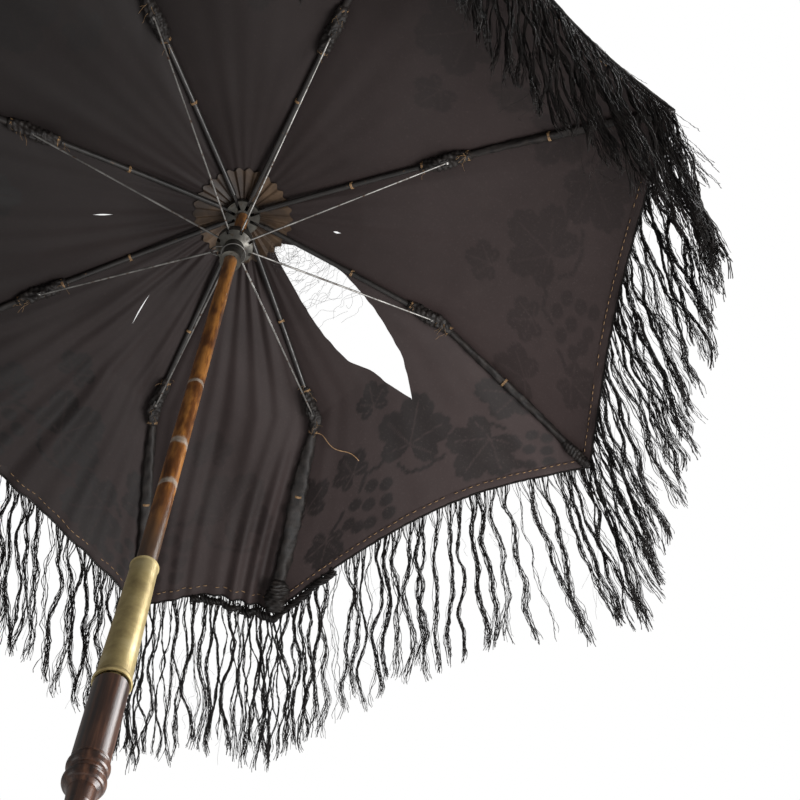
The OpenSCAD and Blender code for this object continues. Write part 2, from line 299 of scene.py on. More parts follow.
class Nodes:
    """A node material, with short names for what the materials here need."""

    def __init__(self, name):
        self.mat = bpy.data.materials.new(name)
        self.mat.use_nodes = True
        self.tree = self.mat.node_tree
        self.bsdf = next(n for n in self.tree.nodes if n.type == "BSDF_PRINCIPLED")
        self.coords = self.add("ShaderNodeTexCoord").outputs["Object"]

    def add(self, kind, **values):
        node = self.tree.nodes.new(kind)
        for k, v in values.items():
            setattr(node, k, v)
        return node

    def put(self, socket, value):
        if isinstance(value, bpy.types.NodeSocket):
            self.tree.links.new(value, socket)
        else:
            socket.default_value = value

    def mapped(self, scale=(1, 1, 1), rotation=(0, 0, 0), source=None):
        node = self.add("ShaderNodeMapping")
        self.put(node.inputs["Vector"], source or self.coords)
        node.inputs["Scale"].default_value = scale
        node.inputs["Rotation"].default_value = rotation
        return node.outputs["Vector"]

    def noise(self, vector, scale, detail=4, rough=0.55):
        node = self.add("ShaderNodeTexNoise")
        self.put(node.inputs["Vector"], vector)
        node.inputs["Scale"].default_value = scale
        node.inputs["Detail"].default_value = detail
        node.inputs["Roughness"].default_value = rough
        return node.outputs["Fac"]

    def wave(self, vector, scale, distortion=0.0, direction="X"):
        node = self.add("ShaderNodeTexWave", bands_direction=direction)
        self.put(node.inputs["Vector"], vector)
        node.inputs["Scale"].default_value = scale
        node.inputs["Distortion"].default_value = distortion
        return node.outputs["Fac"]

    def ramp(self, fac, *stops):
        node = self.add("ShaderNodeValToRGB")
        self.put(node.inputs["Fac"], fac)
        els = node.color_ramp.elements
        while len(els) < len(stops):
            els.new(0.5)
        for el, (at, col) in zip(els, stops):
            el.position = at
            el.color = (*col, 1) if hasattr(col, "__len__") else (col, col, col, 1)
        return node.outputs["Color"]

    def mix(self, fac, a, b, how="MIX"):
        node = self.add("ShaderNodeMix", data_type="RGBA", blend_type=how)
        self.put(node.inputs[0], fac)
        self.put(node.inputs[6], a if not isinstance(a, tuple) else (*a, 1))
        self.put(node.inputs[7], b if not isinstance(b, tuple) else (*b, 1))
        return node.outputs[2]

    def math(self, how, a, b=0.0):
        node = self.add("ShaderNodeMath", operation=how)
        self.put(node.inputs[0], a)
        self.put(node.inputs[1], b)
        return node.outputs[0]

    def bump(self, height, distance, strength=1.0, after=None):
        node = self.add("ShaderNodeBump")
        node.inputs["Strength"].default_value = strength
        node.inputs["Distance"].default_value = distance
        self.put(node.inputs["Height"], height)
        if after:
            self.put(node.inputs["Normal"], after)
        return node.outputs["Normal"]

    def attribute(self, name):
        return self.add("ShaderNodeAttribute", attribute_name=name).outputs["Fac"]

    def finish(self, color, rough, normal=None, metallic=0.0, **plain):
        self.put(self.bsdf.inputs["Base Color"], color if not isinstance(color, tuple) else (*color, 1))
        self.put(self.bsdf.inputs["Roughness"], rough)
        self.bsdf.inputs["Metallic"].default_value = metallic
        if normal:
            self.put(self.bsdf.inputs["Normal"], normal)
        for k, v in plain.items():
            self.bsdf.inputs[k.replace("_", " ")].default_value = v
        return self.mat


TILT = (LEAN, 0, 0)         # turns row coordinates so that Z runs up the shaft


def silk_damask():
    m = Nodes("silk_damask")
    figure = m.attribute("figure")
    age = m.noise(m.mapped(), 9, 5)
    streak = m.noise(m.mapped(), 60, 3)
    ground = m.ramp(age, (0.3, (0.026, 0.018, 0.017)), (0.62, (0.038, 0.027, 0.026)),
                    (0.85, (0.050, 0.036, 0.033)))
    satin = m.ramp(age, (0.3, (0.0065, 0.0042, 0.004)), (0.8, (0.012, 0.008, 0.0075)))
    color = m.mix(figure, ground, satin)
    color = m.mix(m.math("MULTIPLY", streak, 0.35), color, (0.012, 0.008, 0.007))
    lint = m.ramp(m.noise(m.mapped(), 620, 3, 0.7), (0.56, 0.0), (0.78, 0.30))
    color = m.mix(lint, color, (0.085, 0.068, 0.062))
    dust = m.ramp(m.noise(m.mapped(), 26, 5, 0.7), (0.52, 0.0), (0.80, 0.13))
    color = m.mix(dust, color, (0.062, 0.050, 0.044))
    # painted shade and light: the silk is made darker towards its upper left, away from the light at the lower
    # right, and a little lighter towards the lower right
    place = m.add("ShaderNodeSeparateXYZ")
    m.put(place.inputs[0], m.coords)
    light_slope = m.math("SUBTRACT", m.math("MULTIPLY", place.outputs["X"], 0.8), place.outputs["Z"])
    painted_shade = m.ramp(m.math("ADD", light_slope, 0.62), (0.0, (0.2, 0.18, 0.17)), (0.56, (1.08, 1.02, 1.02)))
    color = m.mix(1.0, color, painted_shade, "MULTIPLY")
    weave = m.math("ADD", m.wave(m.mapped((1, 0, 0.3)), 900), m.wave(m.mapped((0, 1, 1)), 900))
    rough = m.mix(figure, (0.62, 0.62, 0.62), (0.5, 0.5, 0.5))
    normal = m.bump(weave, 0.00008, 0.5, m.bump(age, 0.0006, 0.5))
    return m.finish(color, rough, normal, Specular_IOR_Level=0.2, Sheen_Weight=0.03, Sheen_Roughness=0.4)


def fringe_yarn():
    m = Nodes("fringe_yarn")
    tone = m.noise(m.mapped(), 130, 2)
    color = m.ramp(tone, (0.3, (0.0025, 0.0019, 0.0016)), (0.7, (0.008, 0.0058, 0.005)))
    twist = m.wave(m.mapped((1, 1, 2.4)), 420, 1.0, "DIAGONAL")
    return m.finish(color, 0.5, m.bump(twist, 0.00012, 0.6), Specular_IOR_Level=0.25)


def black_cloth():
    m = Nodes("black_cloth")
    tone = m.noise(m.mapped(), 220, 4)
    color = m.ramp(tone, (0.3, (0.004, 0.0032, 0.003)), (0.72, (0.016, 0.012, 0.010)),
                   (0.9, (0.05, 0.036, 0.026)))
    return m.finish(color, 0.62, m.bump(m.noise(m.mapped(), 900, 3), 0.0003, 0.6), Specular_IOR_Level=0.3)


def tan_thread():
    m = Nodes("tan_thread")
    tone = m.noise(m.mapped(), 400, 3)
    color = m.ramp(tone, (0.3, (0.13, 0.07, 0.03)), (0.75, (0.34, 0.21, 0.10)))
    return m.finish(color, 0.6, m.bump(tone, 0.0001, 0.5))


def rosette_silk():
    m = Nodes("rosette_silk")
    stain = m.noise(m.mapped(), 55, 5)
    color = m.ramp(stain, (0.25, (0.007, 0.004, 0.003)), (0.5, (0.034, 0.020, 0.011)),
                   (0.8, (0.095, 0.058, 0.032)))
    normal = m.bump(m.noise(m.mapped(), 700, 2), 0.0002, 0.5)
    return m.finish(color, 0.55, normal, Specular_IOR_Level=0.3)


def cane():
    m = Nodes("varnished_cane")
    at = m.mapped(rotation=TILT)
    mottle = m.noise(m.mapped((1, 1, 0.16), source=at), 210, 6, 0.62)
    body = m.ramp(mottle, (0.28, (0.035, 0.013, 0.005)), (0.44, (0.13, 0.045, 0.010)),
                  (0.58, (0.33, 0.135, 0.028)), (0.74, (0.22, 0.085, 0.022)))
    z = m.add("ShaderNodeSeparateXYZ")
    m.put(z.inputs[0], at)
    z = z.outputs["Z"]
    wobble = m.math("ADD", z, m.math("MULTIPLY", m.math("SUBTRACT", m.noise(at, 90, 3), 0.5), 0.012))
    rings = None
    for offset, width in ((0.100, 0.0032), (0.163, 0.0024), (0.062, 0.003)):
        gap = m.math("ABSOLUTE", m.math("SUBTRACT", wobble, SLEEVE_TOP_Z + offset))
        ring = m.ramp(m.math("DIVIDE", gap, width), (0.5, 1.0), (1.0, 0.0))
        rings = ring if rings is None else m.mix(1.0, rings, ring, "LIGHTEN")
    pale = m.ramp(m.noise(at, 420, 3), (0.35, (0.23, 0.19, 0.15)), (0.7, (0.46, 0.41, 0.35)))
    dark = m.ramp(m.math("SUBTRACT", wobble, SLEEVE_TOP_Z), (0.0, 0.93), (0.02, 0.8), (0.055, 0.0))
    color = m.mix(dark, body, (0.045, 0.028, 0.018))
    color = m.mix(m.math("MULTIPLY", rings, 0.75), color, pale)
    rough = m.ramp(mottle, (0.3, 0.28), (0.8, 0.5))
    return m.finish(color, rough, m.bump(mottle, 0.0003, 0.5), Coat_Weight=0.25, Coat_Roughness=0.25)


def rosewood():
    m = Nodes("rosewood")
    at = m.mapped(rotation=TILT)
    grain = m.noise(m.mapped((1, 1, 0.05), source=at), 480, 5, 0.6)
    broad = m.noise(m.mapped((1, 1, 0.12), source=at), 130, 3)
    color = m.ramp(m.math("ADD", m.math("MULTIPLY", grain, 0.65), m.math("MULTIPLY", broad, 0.35)),
                   (0.36, (0.008, 0.0035, 0.0025)), (0.48, (0.045, 0.018, 0.010)),
                   (0.60, (0.11, 0.048, 0.026)), (0.76, (0.21, 0.115, 0.07)))
    return m.finish(color, 0.3, m.bump(grain, 0.0002, 0.45), Coat_Weight=0.25, Coat_Roughness=0.3)


def aged_brass():
    m = Nodes("aged_brass")
    at = m.mapped(rotation=TILT)
    patina = m.noise(at, 70, 6, 0.62)
    color = m.ramp(patina, (0.26, (0.17, 0.12, 0.05)), (0.5, (0.46, 0.36, 0.16)), (0.76, (0.62, 0.52, 0.28)))
    lines = m.noise(m.mapped((1, 1, 9), source=at), 160, 3)
    rough = m.ramp(patina, (0.3, 0.5), (0.75, 0.3))
    return m.finish(color, rough, m.bump(m.math("ADD", lines, patina), 0.00012, 0.5), 0.55)


def old_steel(name, dark, light, rust):
    m = Nodes(name)
    spots = m.noise(m.mapped(), 260, 5, 0.65)
    tone = m.ramp(m.noise(m.mapped(), 90, 3), (0.3, dark), (0.75, light))
    color = m.mix(m.ramp(spots, (0.55, 0.0), (0.68, 1.0)), tone, rust)
    rough = m.ramp(spots, (0.4, 0.34), (0.7, 0.7))
    return m.finish(color, rough, m.bump(spots, 0.0001, 0.6), 0.7)


def black_enamel():
    m = Nodes("black_enamel")
    chips = m.noise(m.mapped(), 190, 5, 0.7)
    base = m.ramp(m.noise(m.mapped(), 40, 3), (0.3, (0.008, 0.007, 0.0065)), (0.8, (0.024, 0.021, 0.019)))
    color = m.mix(m.ramp(chips, (0.64, 0.0), (0.7, 1.0)), base, (0.10, 0.06, 0.035))
    return m.finish(color, m.ramp(chips, (0.4, 0.3), (0.7, 0.6)), m.bump(chips, 0.0001, 0.5), 0.2)


def ebonised():
    m = Nodes("ebonised_wood")
    at = m.mapped(rotation=TILT)
    grain = m.noise(m.mapped((1, 1, 0.08), source=at), 380, 4)
    color = m.ramp(grain, (0.35, (0.008, 0.005, 0.004)), (0.75, (0.045, 0.026, 0.017)))
    return m.finish(color, 0.35, m.bump(grain, 0.0001, 0.5), Coat_Weight=0.3, Coat_Roughness=0.2)


def plain_floor():
    m = Nodes("pale_floor")
    color = m.ramp(m.noise(m.mapped(), 3, 2), (0.3, 0.78), (0.7, 0.82))
    m.put(m.bsdf.inputs["Emission Color"], (1, 1, 1, 1))
    m.bsdf.inputs["Emission Strength"].default_value = 0.2
    return m.finish(color, 0.85)


sleeve_points = shaft([v.co for v in frame["nodes"]["brass_sleeve"].data.vertices])
SLEEVE_TOP = float(sleeve_points[:, 2].max())            # shaft frame, below the hub
# the mottling and bands are painted along the shaft, in turned row coordinates
SLEEVE_TOP_Z = float(np.dot(row([0, 0, SLEEVE_TOP]), UP))

SILK = silk_damask()
YARN = fringe_yarn()
BLACK = black_cloth()
THREAD = tan_thread()
STEEL = old_steel("rusted_steel", (0.09, 0.085, 0.08), (0.27, 0.26, 0.245), (0.055, 0.028, 0.016))
PEWTER = old_steel("oxidised_crown", (0.022, 0.020, 0.018), (0.11, 0.105, 0.09), (0.035, 0.024, 0.014))
ENAMEL = black_enamel()
BRASS = aged_brass()

for name, material in {
    "handle": rosewood(), "hinge_fork": BRASS, "hinge_tongue": BRASS, "hinge_pin": STEEL,
    "brass_sleeve": BRASS, "shaft": cane(), "top_notch": PEWTER, "notch_wire": STEEL,
    "ferrule": ebonised(), "runner": PEWTER, "runner_wire": STEEL,
    **{f"rib_{i}": ENAMEL for i in range(1, 9)}, **{f"rib_joint_{i}": ENAMEL for i in range(1, 9)},
    **{f"rib_tip_{i}": ENAMEL for i in range(1, 9)}, **{f"stretcher_{i}": STEEL for i in range(1, 9)},
}.items():
    node = frame["nodes"][name]
    node.data.materials.clear()
    node.data.materials.append(material)

# ---------------------------------------------------------------------------------------------------
# The woven figure: vine leaves, grapes and stems, in millimetres from the panel's mid line and its hem

STEMS = [
    [(5, 48), (0, 38), (-14, 35), (-30, 38)],
    [(39, 48), (30, 57), (20, 56), (8, 60)],
    [(70, 30), (60, 36), (56, 40)],
    [(-78, 46), (-70, 52), (-62, 44)],
]
LEAVES = [          # where the stalk meets it, the way it points in degrees, its size
    (-8, 58, 118, 40), (-66, 40, -40, 38), (-96, 72, 20, 32), (40, 64, 75, 22),
    (74, 26, -60, 24), (84, 66, 100, 30), (10, 104, 95, 20),
]
BUNCHES = [(38, 32, 1.0), (-88, 24, 0.85)]
LIGHT_ON_FIGURE = [0.55, 0.5, 0.5, 1.0, 0.45, 0.9, 0.8, 0.55]     # how strongly each panel shows the figure: painted light, for how the light catches the satin of each panel
BERRIES = [(-9, 13), (-20, 7), (7, 7), (-3, 0), (-17, -5), (16, -5), (10, -12), (0, -15), (-16, -16)]
SHIFTS = [0, 6, -4, 0, 3, -6, 4, 8]     # how far the figure is moved across each panel
LOBES = ((0, 1.0), (52, 0.86), (-52, 0.86), (108, 0.6), (-108, 0.6))    # a leaf's: angle and length


def soft(distance, width=0.9):
    """1 inside (distance below 0), 0 outside, over about the width."""
    return np.clip(0.5 - distance / width, 0, 1)


def leaf(x, y, x0, y0, points, size):
    """A vine leaf whose stalk is at x0, y0, pointing the given way in degrees, with its veins left out."""
    dx, dy = x - x0, y - y0
    r = np.hypot(dx, dy)
    angle = np.arctan2(dy, dx) - math.radians(points)
    angle = (angle + math.pi) % (2 * math.pi) - math.pi
    reach = np.zeros_like(r)
    veins = np.full_like(r, 99.0)
    for lobe, length in LOBES:
        off = (angle - math.radians(lobe) + math.pi) % (2 * math.pi) - math.pi
        wide = np.clip(np.cos(np.clip(off * 2.0, -math.pi / 2, math.pi / 2)), 0, 1) ** 0.55
        reach = np.maximum(reach, size * length * wide)
        ahead = np.cos(off) * r
        line = np.abs(np.sin(off)) * r + np.where((ahead > 0) & (ahead < size * length * 0.82), 0, 99)
        veins = np.minimum(veins, line)
    teeth = 1 + 0.07 * np.abs(np.sin(angle * 13)) - 0.04
    body = soft(r - reach * teeth, 1.4)
    return body * (1 - soft(veins - 0.45, 0.9))


def figure_at(panel, x, y):
    """The woven figure at x, y in millimetres: up to 1 where the satin figure is, scaled for each panel by
    painted light.
    """
    wobble = np.sin(y * 0.9) * 0.25
    x = x - SHIFTS[panel] + wobble
    total = np.zeros_like(x)
    for stem in STEMS:
        for (ax, ay), (bx, by) in zip(stem, stem[1:]):
            dx, dy = bx - ax, by - ay
            t = np.clip(((x - ax) * dx + (y - ay) * dy) / (dx * dx + dy * dy), 0, 1)
            d = np.hypot(x - ax - t * dx, y - ay - t * dy)
            total = np.maximum(total, soft(d - 1.5 - 0.6 * np.sin(x * 0.8 + y), 1.2))
    for x0, y0, points, size in LEAVES:
        total = np.maximum(total, leaf(x, y, x0, y0, points, size))
    for x0, y0, scale in BUNCHES:
        for bx, by in BERRIES:
            dx, dy = x - x0 - bx * scale, y - y0 - by * scale
            total = np.maximum(total, soft(np.hypot(dx / 5.8, dy / 4.9) * 5.2 - 5.2 * scale, 1.0))
    # the figure is made weaker on some panels: painted light, for how the light catches the satin there
    return total * LIGHT_ON_FIGURE[panel]


# ---------------------------------------------------------------------------------------------------
# The cover: one gore on each rib, from mid panel to mid panel

ACROSS, DOWN_ROWS = 81, 190         # points across half a gore, and along it
HEM_WIDTH = 0.0085


def half_gore(i, side):
    """Points and figure of the half of gore i on the given side (1: towards the next rib)."""
    panel = i if side > 0 else (i - 1) % RIBS
    v = np.linspace(0, 1, ACROSS) ** 0.95
    rows_at = np.linspace(0, 1, DOWN_ROWS)
    vv, kk = np.meshgrid(v, rows_at)
    along = kk * RIB_ALL
    for _ in range(2):      # where the seam is depends on the length, and the length on the seam
        share = along / RIB_ALL
        near, far = seam(panel, share)
        u = vv * near if side > 0 else 1 - vv * (1 - far)
        along = CLOTH_START + kk * (hem_length(panel, u) - CLOTH_START)
    points = cloth_at(panel, u, along)
    width = np.linalg.norm(rib_at(panel, along) - rib_at((panel + 1) % RIBS, along), axis=-1)
    x = (u - 0.5) * width / MM
    y = (hem_length(panel, u) - along) / MM
    return points, figure_at(panel, x, y)


def with_rib(obj, i):
    """Rides a piece of cloth on rib i, with its own copy of the mesh."""
    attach(obj, f"rib_{i + 1}")
    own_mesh(obj)


def gore(i):
    """The cloth on rib i, with its points in the shaft frame and its area."""
    left, left_figure = half_gore(i, -1)
    right, right_figure = half_gore(i, 1)
    points = np.concatenate([left[:, :0:-1], right], axis=1)
    figure = np.concatenate([left_figure[:, :0:-1], right_figure], axis=1)
    rows, cols = points.shape[:2]
    obj = piece(f"gore_{i + 1}", row(points).reshape(-1, 3), grid_faces(rows, cols), SILK)
    data = obj.data.attributes.new("figure", "FLOAT", "POINT")
    data.data.foreach_set("value", figure.reshape(-1))
    edges = np.linalg.norm(np.diff(points, axis=1), axis=-1)[:-1]
    drops = np.linalg.norm(np.diff(points, axis=0), axis=-1)[:, :-1]
    area = float((edges * drops).sum())
    return obj, points, area


def hem_parts(i, points):
    """The turned hem and its running stitches, along the edge of gore i."""
    edge = points[-1]
    inner = points[-1 - int(HEM_WIDTH / (RIB_ALL / DOWN_ROWS))]
    t = np.linspace(0, 1, 5)[:, None, None]
    band = edge[None] * (1 - t) + inner[None] * t
    puff = np.array([0.15, 0.75, 0.95, 0.75, 0.2])[:, None, None] * 0.7 * MM
    band = band + DROP * puff
    band[0] += (edge - inner) / np.linalg.norm(edge - inner, axis=-1, keepdims=True) * 0.5 * MM
    rows, cols = band.shape[:2]
    hem = piece(f"hem_{i + 1}", row(band).reshape(-1, 3), grid_faces(rows, cols), SILK)
    line = edge * 0.12 + inner * 0.88 + DROP * 0.9 * MM
    steps = run_of(line)
    r = np.random.default_rng(100 + i)
    paths = []
    at = 1.5 * MM
    while at < steps[-1] - 4 * MM:
        length = r.uniform(2.2, 3.6) * MM
        if r.random() > 0.1:
            s = np.linspace(at, at + length, 6)
            p = points_on(line, steps, s)
            p[:, 2] -= np.sin(np.linspace(0, math.pi, 6)) * 0.35 * MM
            paths.append(p + r.normal(0, 0.12 * MM, 3))
        at += length + r.uniform(1.6, 2.8) * MM
    verts, faces = tubes(np.array(paths), np.array([0.5, 0.9, 1, 1, 0.9, 0.5]) * 0.28 * MM, 6)
    stitches = piece(f"hem_stitches_{i + 1}", row(verts), faces, THREAD)
    return hem, stitches


# ---------------------------------------------------------------------------------------------------
# The fringe

FRINGE = 0.116              # its length
SPACING = [5.4, 2.7, 5.6, 8.4, 4.6, 8.8, 6.4, 6.0]      # between clumps, for each panel, in millimetres
BUNCHED = [10, 10, 12, 12, 24, 14, 10, 10]      # how wide the thick bunch of fringe at each tip is
STEPS = 44                  # points along a yarn
MARGIN = 20 * MM            # how far beyond the CAD's box the yarns may lean


def clump_roots(i, points, seed):
    """Root points of the clumps along the hem of gore i, the hem's direction there, and the space each has."""
    edge = row(points[-1])
    steps = run_of(edge)
    r = np.random.default_rng(seed)
    middle = steps[len(steps) // 2]
    at, spots, room = 1.5 * MM, [], []
    while at < steps[-1] - 1.5 * MM:
        panel = i if at > middle else (i - 1) % RIBS
        near_tip = math.exp(-((at - middle) / (BUNCHED[i] * MM)) ** 2)
        room.append(SPACING[panel] * MM * (1 - 0.66 * near_tip) * r.uniform(0.7, 1.3))
        spots.append(at)
        at += room[-1]
    spots = np.array(spots)
    along = points_on(edge, steps, spots + 2 * MM) - points_on(edge, steps, spots - 2 * MM)
    along = along / np.linalg.norm(along, axis=-1, keepdims=True)
    return points_on(edge, steps, spots), along, np.array(room)


def fringe_lean(root):
    """Sideways drift of the yarns' ends: those at the right-hand edge fall outwards."""
    widest = cad_box[1][0] + MARGIN
    return np.minimum(ramp((root[:, 0] - 0.15) / 0.06) * 0.044, np.maximum(widest - root[:, 0], 0))


def waver(r, n, which, drop, parts):
    """Slow bends shared by a clump: parts are (wavelength, amplitude) in millimetres."""
    total = 0
    for wave_length, size in parts:
        freq = 2 * math.pi / (wave_length * MM * r.uniform(0.75, 1.3, n))[which][:, None]
        total = total + (size * r.uniform(0.3, 1.2, n))[which][:, None] * np.sin(
            freq * drop + r.uniform(0, 6.28, n)[which][:, None])
    return total * MM


def fringe_mesh(i, points):
    """The yarns below gore i, and the heading that they hang from."""
    r = np.random.default_rng(300 + i)
    roots, along, room = clump_roots(i, points, 200 + i)
    n = len(roots)
    yarns = np.where(room > 4.6 * MM, r.integers(13, 20, n), r.integers(7, 12, n))
    thin = r.random(n) < 0.12
    yarns = np.where(thin, 4, yarns)
    which = np.repeat(np.arange(n), yarns)
    total = len(which)
    t = np.linspace(0, 1, STEPS)[None, :]
    length = (FRINGE * r.uniform(0.90, 1.03, n))[which] * r.uniform(0.92, 1.0, total)
    length = np.where(r.random(total) < 0.08, length * r.uniform(0.3, 0.8, total), length)
    drop = length[:, None] * t
    gather = np.exp(-(drop / (13 * MM)) ** 2)
    fan = (room[which] * r.uniform(-0.55, 0.55, total))[:, None] * gather
    path = roots[which][:, None, :] + along[which][:, None, :] * fan[..., None] + DROP * drop[..., None]
    settled = 1 - gather
    width = (np.minimum(room, 8 * MM) * r.uniform(0.07, 0.14, n))[which][:, None] * (1 + 0.6 * t ** 3)
    for axis, share in ((0, 1.0), (1, 0.9)):
        slow = waver(r, n, which, drop, ((90, 3.0), (45, 1.7), (22, 0.5))) * settled
        strand = r.normal(0, 1, total)[:, None] * width * settled
        cross = np.sin(2 * math.pi * drop / (r.uniform(14, 40, total)[:, None] * MM)
                       + r.uniform(0, 6.28, total)[:, None])
        stray = r.normal(0, 1.0, total)[:, None] * MM * ramp((t - 0.6) / 0.4) ** 2
        crimp = r.normal(0, 0.24 * MM, (total, STEPS)) * ramp(t * 12)
        path[:, :, axis] += share * (slow + strand + cross * width * 0.8 * settled) + stray + crimp
    path[:, :, 0] += (fringe_lean(roots) * r.uniform(0.65, 1.0, n))[which][:, None] * t ** 1.2
    radius = r.uniform(0.17, 0.34, total)[:, None] * MM * (1.1 - t * 0.15) * r.uniform(0.6, 1.4, (total, STEPS))
    across = (np.array([1.0, 0, 0]), np.array([0, 1.0, 0]))
    yarn = tubes(path, radius, 3, across)
    # single broken filaments that stand away from the clumps
    hairs = max(8, n)
    hair_t = np.linspace(0, 1, 16)[None, :, None]
    start = roots[r.integers(0, n, hairs)][:, None, :] + DROP * r.uniform(0.005, 0.09, hairs)[:, None, None]
    away = r.normal(0, 1, (hairs, 1, 3)) * np.array([8, 8, 5]) * MM
    curl = np.sin(hair_t * r.uniform(3, 9, (hairs, 1, 1)) + r.uniform(0, 6, (hairs, 1, 1)))
    hair = start + away * hair_t + curl * r.normal(0, 2, (hairs, 1, 3)) * MM + DROP * 0.018 * hair_t
    # the heading that the yarns hang from
    edge = row(points[-1])[::2]
    wob = np.random.default_rng(400 + i).normal(0, 0.15 * MM, edge.shape)
    heading = tubes((edge + wob - np.array([0, 0, 0.4 * MM]))[None], 0.75 * MM, 6)
    return joined([yarn, tubes(hair, 0.07 * MM, 3)]), heading


# ---------------------------------------------------------------------------------------------------
# Rib dressing: wrapped joints, cloth pockets over the outer ribs, ties and loose threads

# where they start and end along a rib
WRAP = (0.121, 0.158)
POCKET = (0.156, 0.285)
TIP_BUNCH = (0.268, 0.2925)
POCKET_WIDE = {5: 5.6 * MM, 6: 3.8 * MM}        # the loose pockets of ribs 5 and 6; the others are 2.6 mm


def rib_frame(i, along):
    """Centre points of rib i with the way across it and the way off the cloth (towards the handle)."""
    p = rib_at(i, along)
    t = np.gradient(p, axis=0)
    t /= np.linalg.norm(t, axis=-1, keepdims=True)
    side = np.cross(t, [0, 0, 1.0])
    side /= np.linalg.norm(side, axis=-1, keepdims=True)
    return p, side, np.cross(side, t) * -1


def sleeve_mesh(i, start, end, wide, deep, seed, drop=0.0, rings=40, sides=20, ragged=0.0):
    """A puckered cloth sleeve round a rib."""
    r = np.random.default_rng(seed)
    along = np.linspace(start, end, rings)
    p, side, off = rib_frame(i, along)
    s = np.linspace(0, 1, rings)[:, None]
    phi = np.linspace(0, 2 * math.pi, sides, endpoint=False)[None, :]
    swell = np.clip(np.sin(math.pi * s), 0, 1) ** 0.4
    pucker = (1 + 0.16 * np.sin(phi * 3 + s * 9 + r.uniform(0, 6))
              + 0.12 * np.sin(phi * 7 - s * 21 + r.uniform(0, 6)))
    pucker = pucker + 0.10 * np.sin(s * 60 + 2 * np.sin(phi * 2)) + r.normal(0, 0.035, (rings, sides))
    a = (ROD_OUTER + 0.5 * MM) * (1 - swell) + wide * swell * pucker
    b = (ROD_OUTER + 0.5 * MM) * (1 - swell) + deep * swell * pucker
    centre = p + off * drop * swell
    ends = 1 + ragged * r.normal(0, 1, (rings, sides)) * (1 - swell)
    depth = np.maximum(np.sin(phi) * b * ends + drop * swell, -CLOTH_SIDE) - drop * swell
    ring = (np.cos(phi) * a * ends)[..., None] * side[:, None] + depth[..., None] * off[:, None]
    return (centre[:, None] + ring).reshape(-1, 3), ring_faces(rings, sides)


def windings(i, at, turns, radius, seed, pitch=0.55, drop=0.0):
    """Thread wound round a rib, in the shaft frame."""
    r = np.random.default_rng(seed)
    k = turns * 20
    t = np.linspace(0, 1, k)
    along = at + (t - 0.5) * turns * pitch * MM + r.normal(0, 0.08 * MM, k)
    _, side, off = rib_frame(i, np.linspace(at - 4 * MM, at + 4 * MM, 9))
    phi = t * turns * 2 * math.pi
    depth = np.maximum(np.sin(phi) * radius + drop, -CLOTH_SIDE)
    centre = rib_at(i, np.clip(along, 0, RIB_ALL))
    return centre + radius * np.cos(phi)[:, None] * side[4] + depth[:, None] * off[4]


def loose_thread(start, direction, length, seed, droop=0.4):
    """A stray thread from a point in the shaft frame, falling in the row frame. Returns row points."""
    t = np.linspace(0, 1, 22)[:, None]
    p = row(start) + np.asarray(direction) * length * t
    p = p + DROP * droop * length * t ** 2
    curl = np.stack([summed(waves(seed + c, 3, 3, 9), t[:, 0]) for c in range(3)], -1)
    return p + curl * length * 0.09 * np.clip(t * 4, 0, 1)


def dress_rib(i):
    name = i + 1
    r = np.random.default_rng(500 + i)
    wrap = sleeve_mesh(i, *WRAP, 4.4 * MM, 4.8 * MM, 600 + i, drop=1.6 * MM, rings=56, sides=26, ragged=0.05)
    wrapped = piece(f"joint_wrap_{name}", row(wrap[0]), wrap[1], BLACK)
    slack = POCKET_WIDE.get(name, 2.6 * MM)
    pocket = sleeve_mesh(i, *POCKET, slack, 2.4 * MM, 700 + i, drop=0.2 * MM, rings=150, sides=14)
    pocketed = piece(f"rib_pocket_{name}", row(pocket[0]), pocket[1], BLACK)
    # four ties: at both ends of the wrapping, on the inner rib and on the outer one
    paths = []
    for at, radius, down in ((0.124, 3.4 * MM, 0.8 * MM), (0.1555, 3.2 * MM, 0.5 * MM),
                             (r.uniform(0.07, 0.085), 2.15 * MM, 0),
                             (r.uniform(0.205, 0.222), 2.9 * MM, 0.2 * MM)):
        line = windings(i, at, 3, radius, int(r.integers(1e6)), drop=down)
        paths.append(tubes(row(line)[None], 0.26 * MM, 5))
    # thread ends that stick out of the wrapping
    for _ in range(9):
        s = rib_frame(i, np.linspace(0.1, 0.16, 13))
        k = int(r.choice([4, 5, 9, 10, 11]))
        start = s[0][k] + s[2][k] * 4.2 * MM + s[1][k] * r.uniform(-3, 3) * MM
        way = r.normal(0, 1, 3) + 1.6 * (s[2][k] @ TURN)
        paths.append(tubes(loose_thread(start, way / np.linalg.norm(way), r.uniform(3, 8) * MM,
                                        int(r.integers(1e6)))[None], 0.1 * MM, 4))
    if name == 5:       # the long golden thread
        s = rib_frame(i, np.linspace(0.14, 0.16, 5))
        start = s[0][3] + s[2][3] * 3.5 * MM
        paths.append(tubes(loose_thread(start, (0.86, 0.1, -0.45), 0.038, 77, 0.12)[None], 0.32 * MM, 6))
    verts, faces = joined(paths)
    ties = piece(f"rib_ties_{name}", verts, faces, THREAD)
    bunch = 7.5 * MM if name == 5 else 3.4 * MM
    tip = sleeve_mesh(i, *TIP_BUNCH, bunch, bunch, 800 + i, drop=0.5 * bunch, rings=44, sides=22, ragged=0.1)
    tipped = piece(f"tip_bunch_{name}", row(tip[0]), tip[1], BLACK)
    for obj in (tipped, wrapped, pocketed, ties):
        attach(obj, f"rib_{name}")


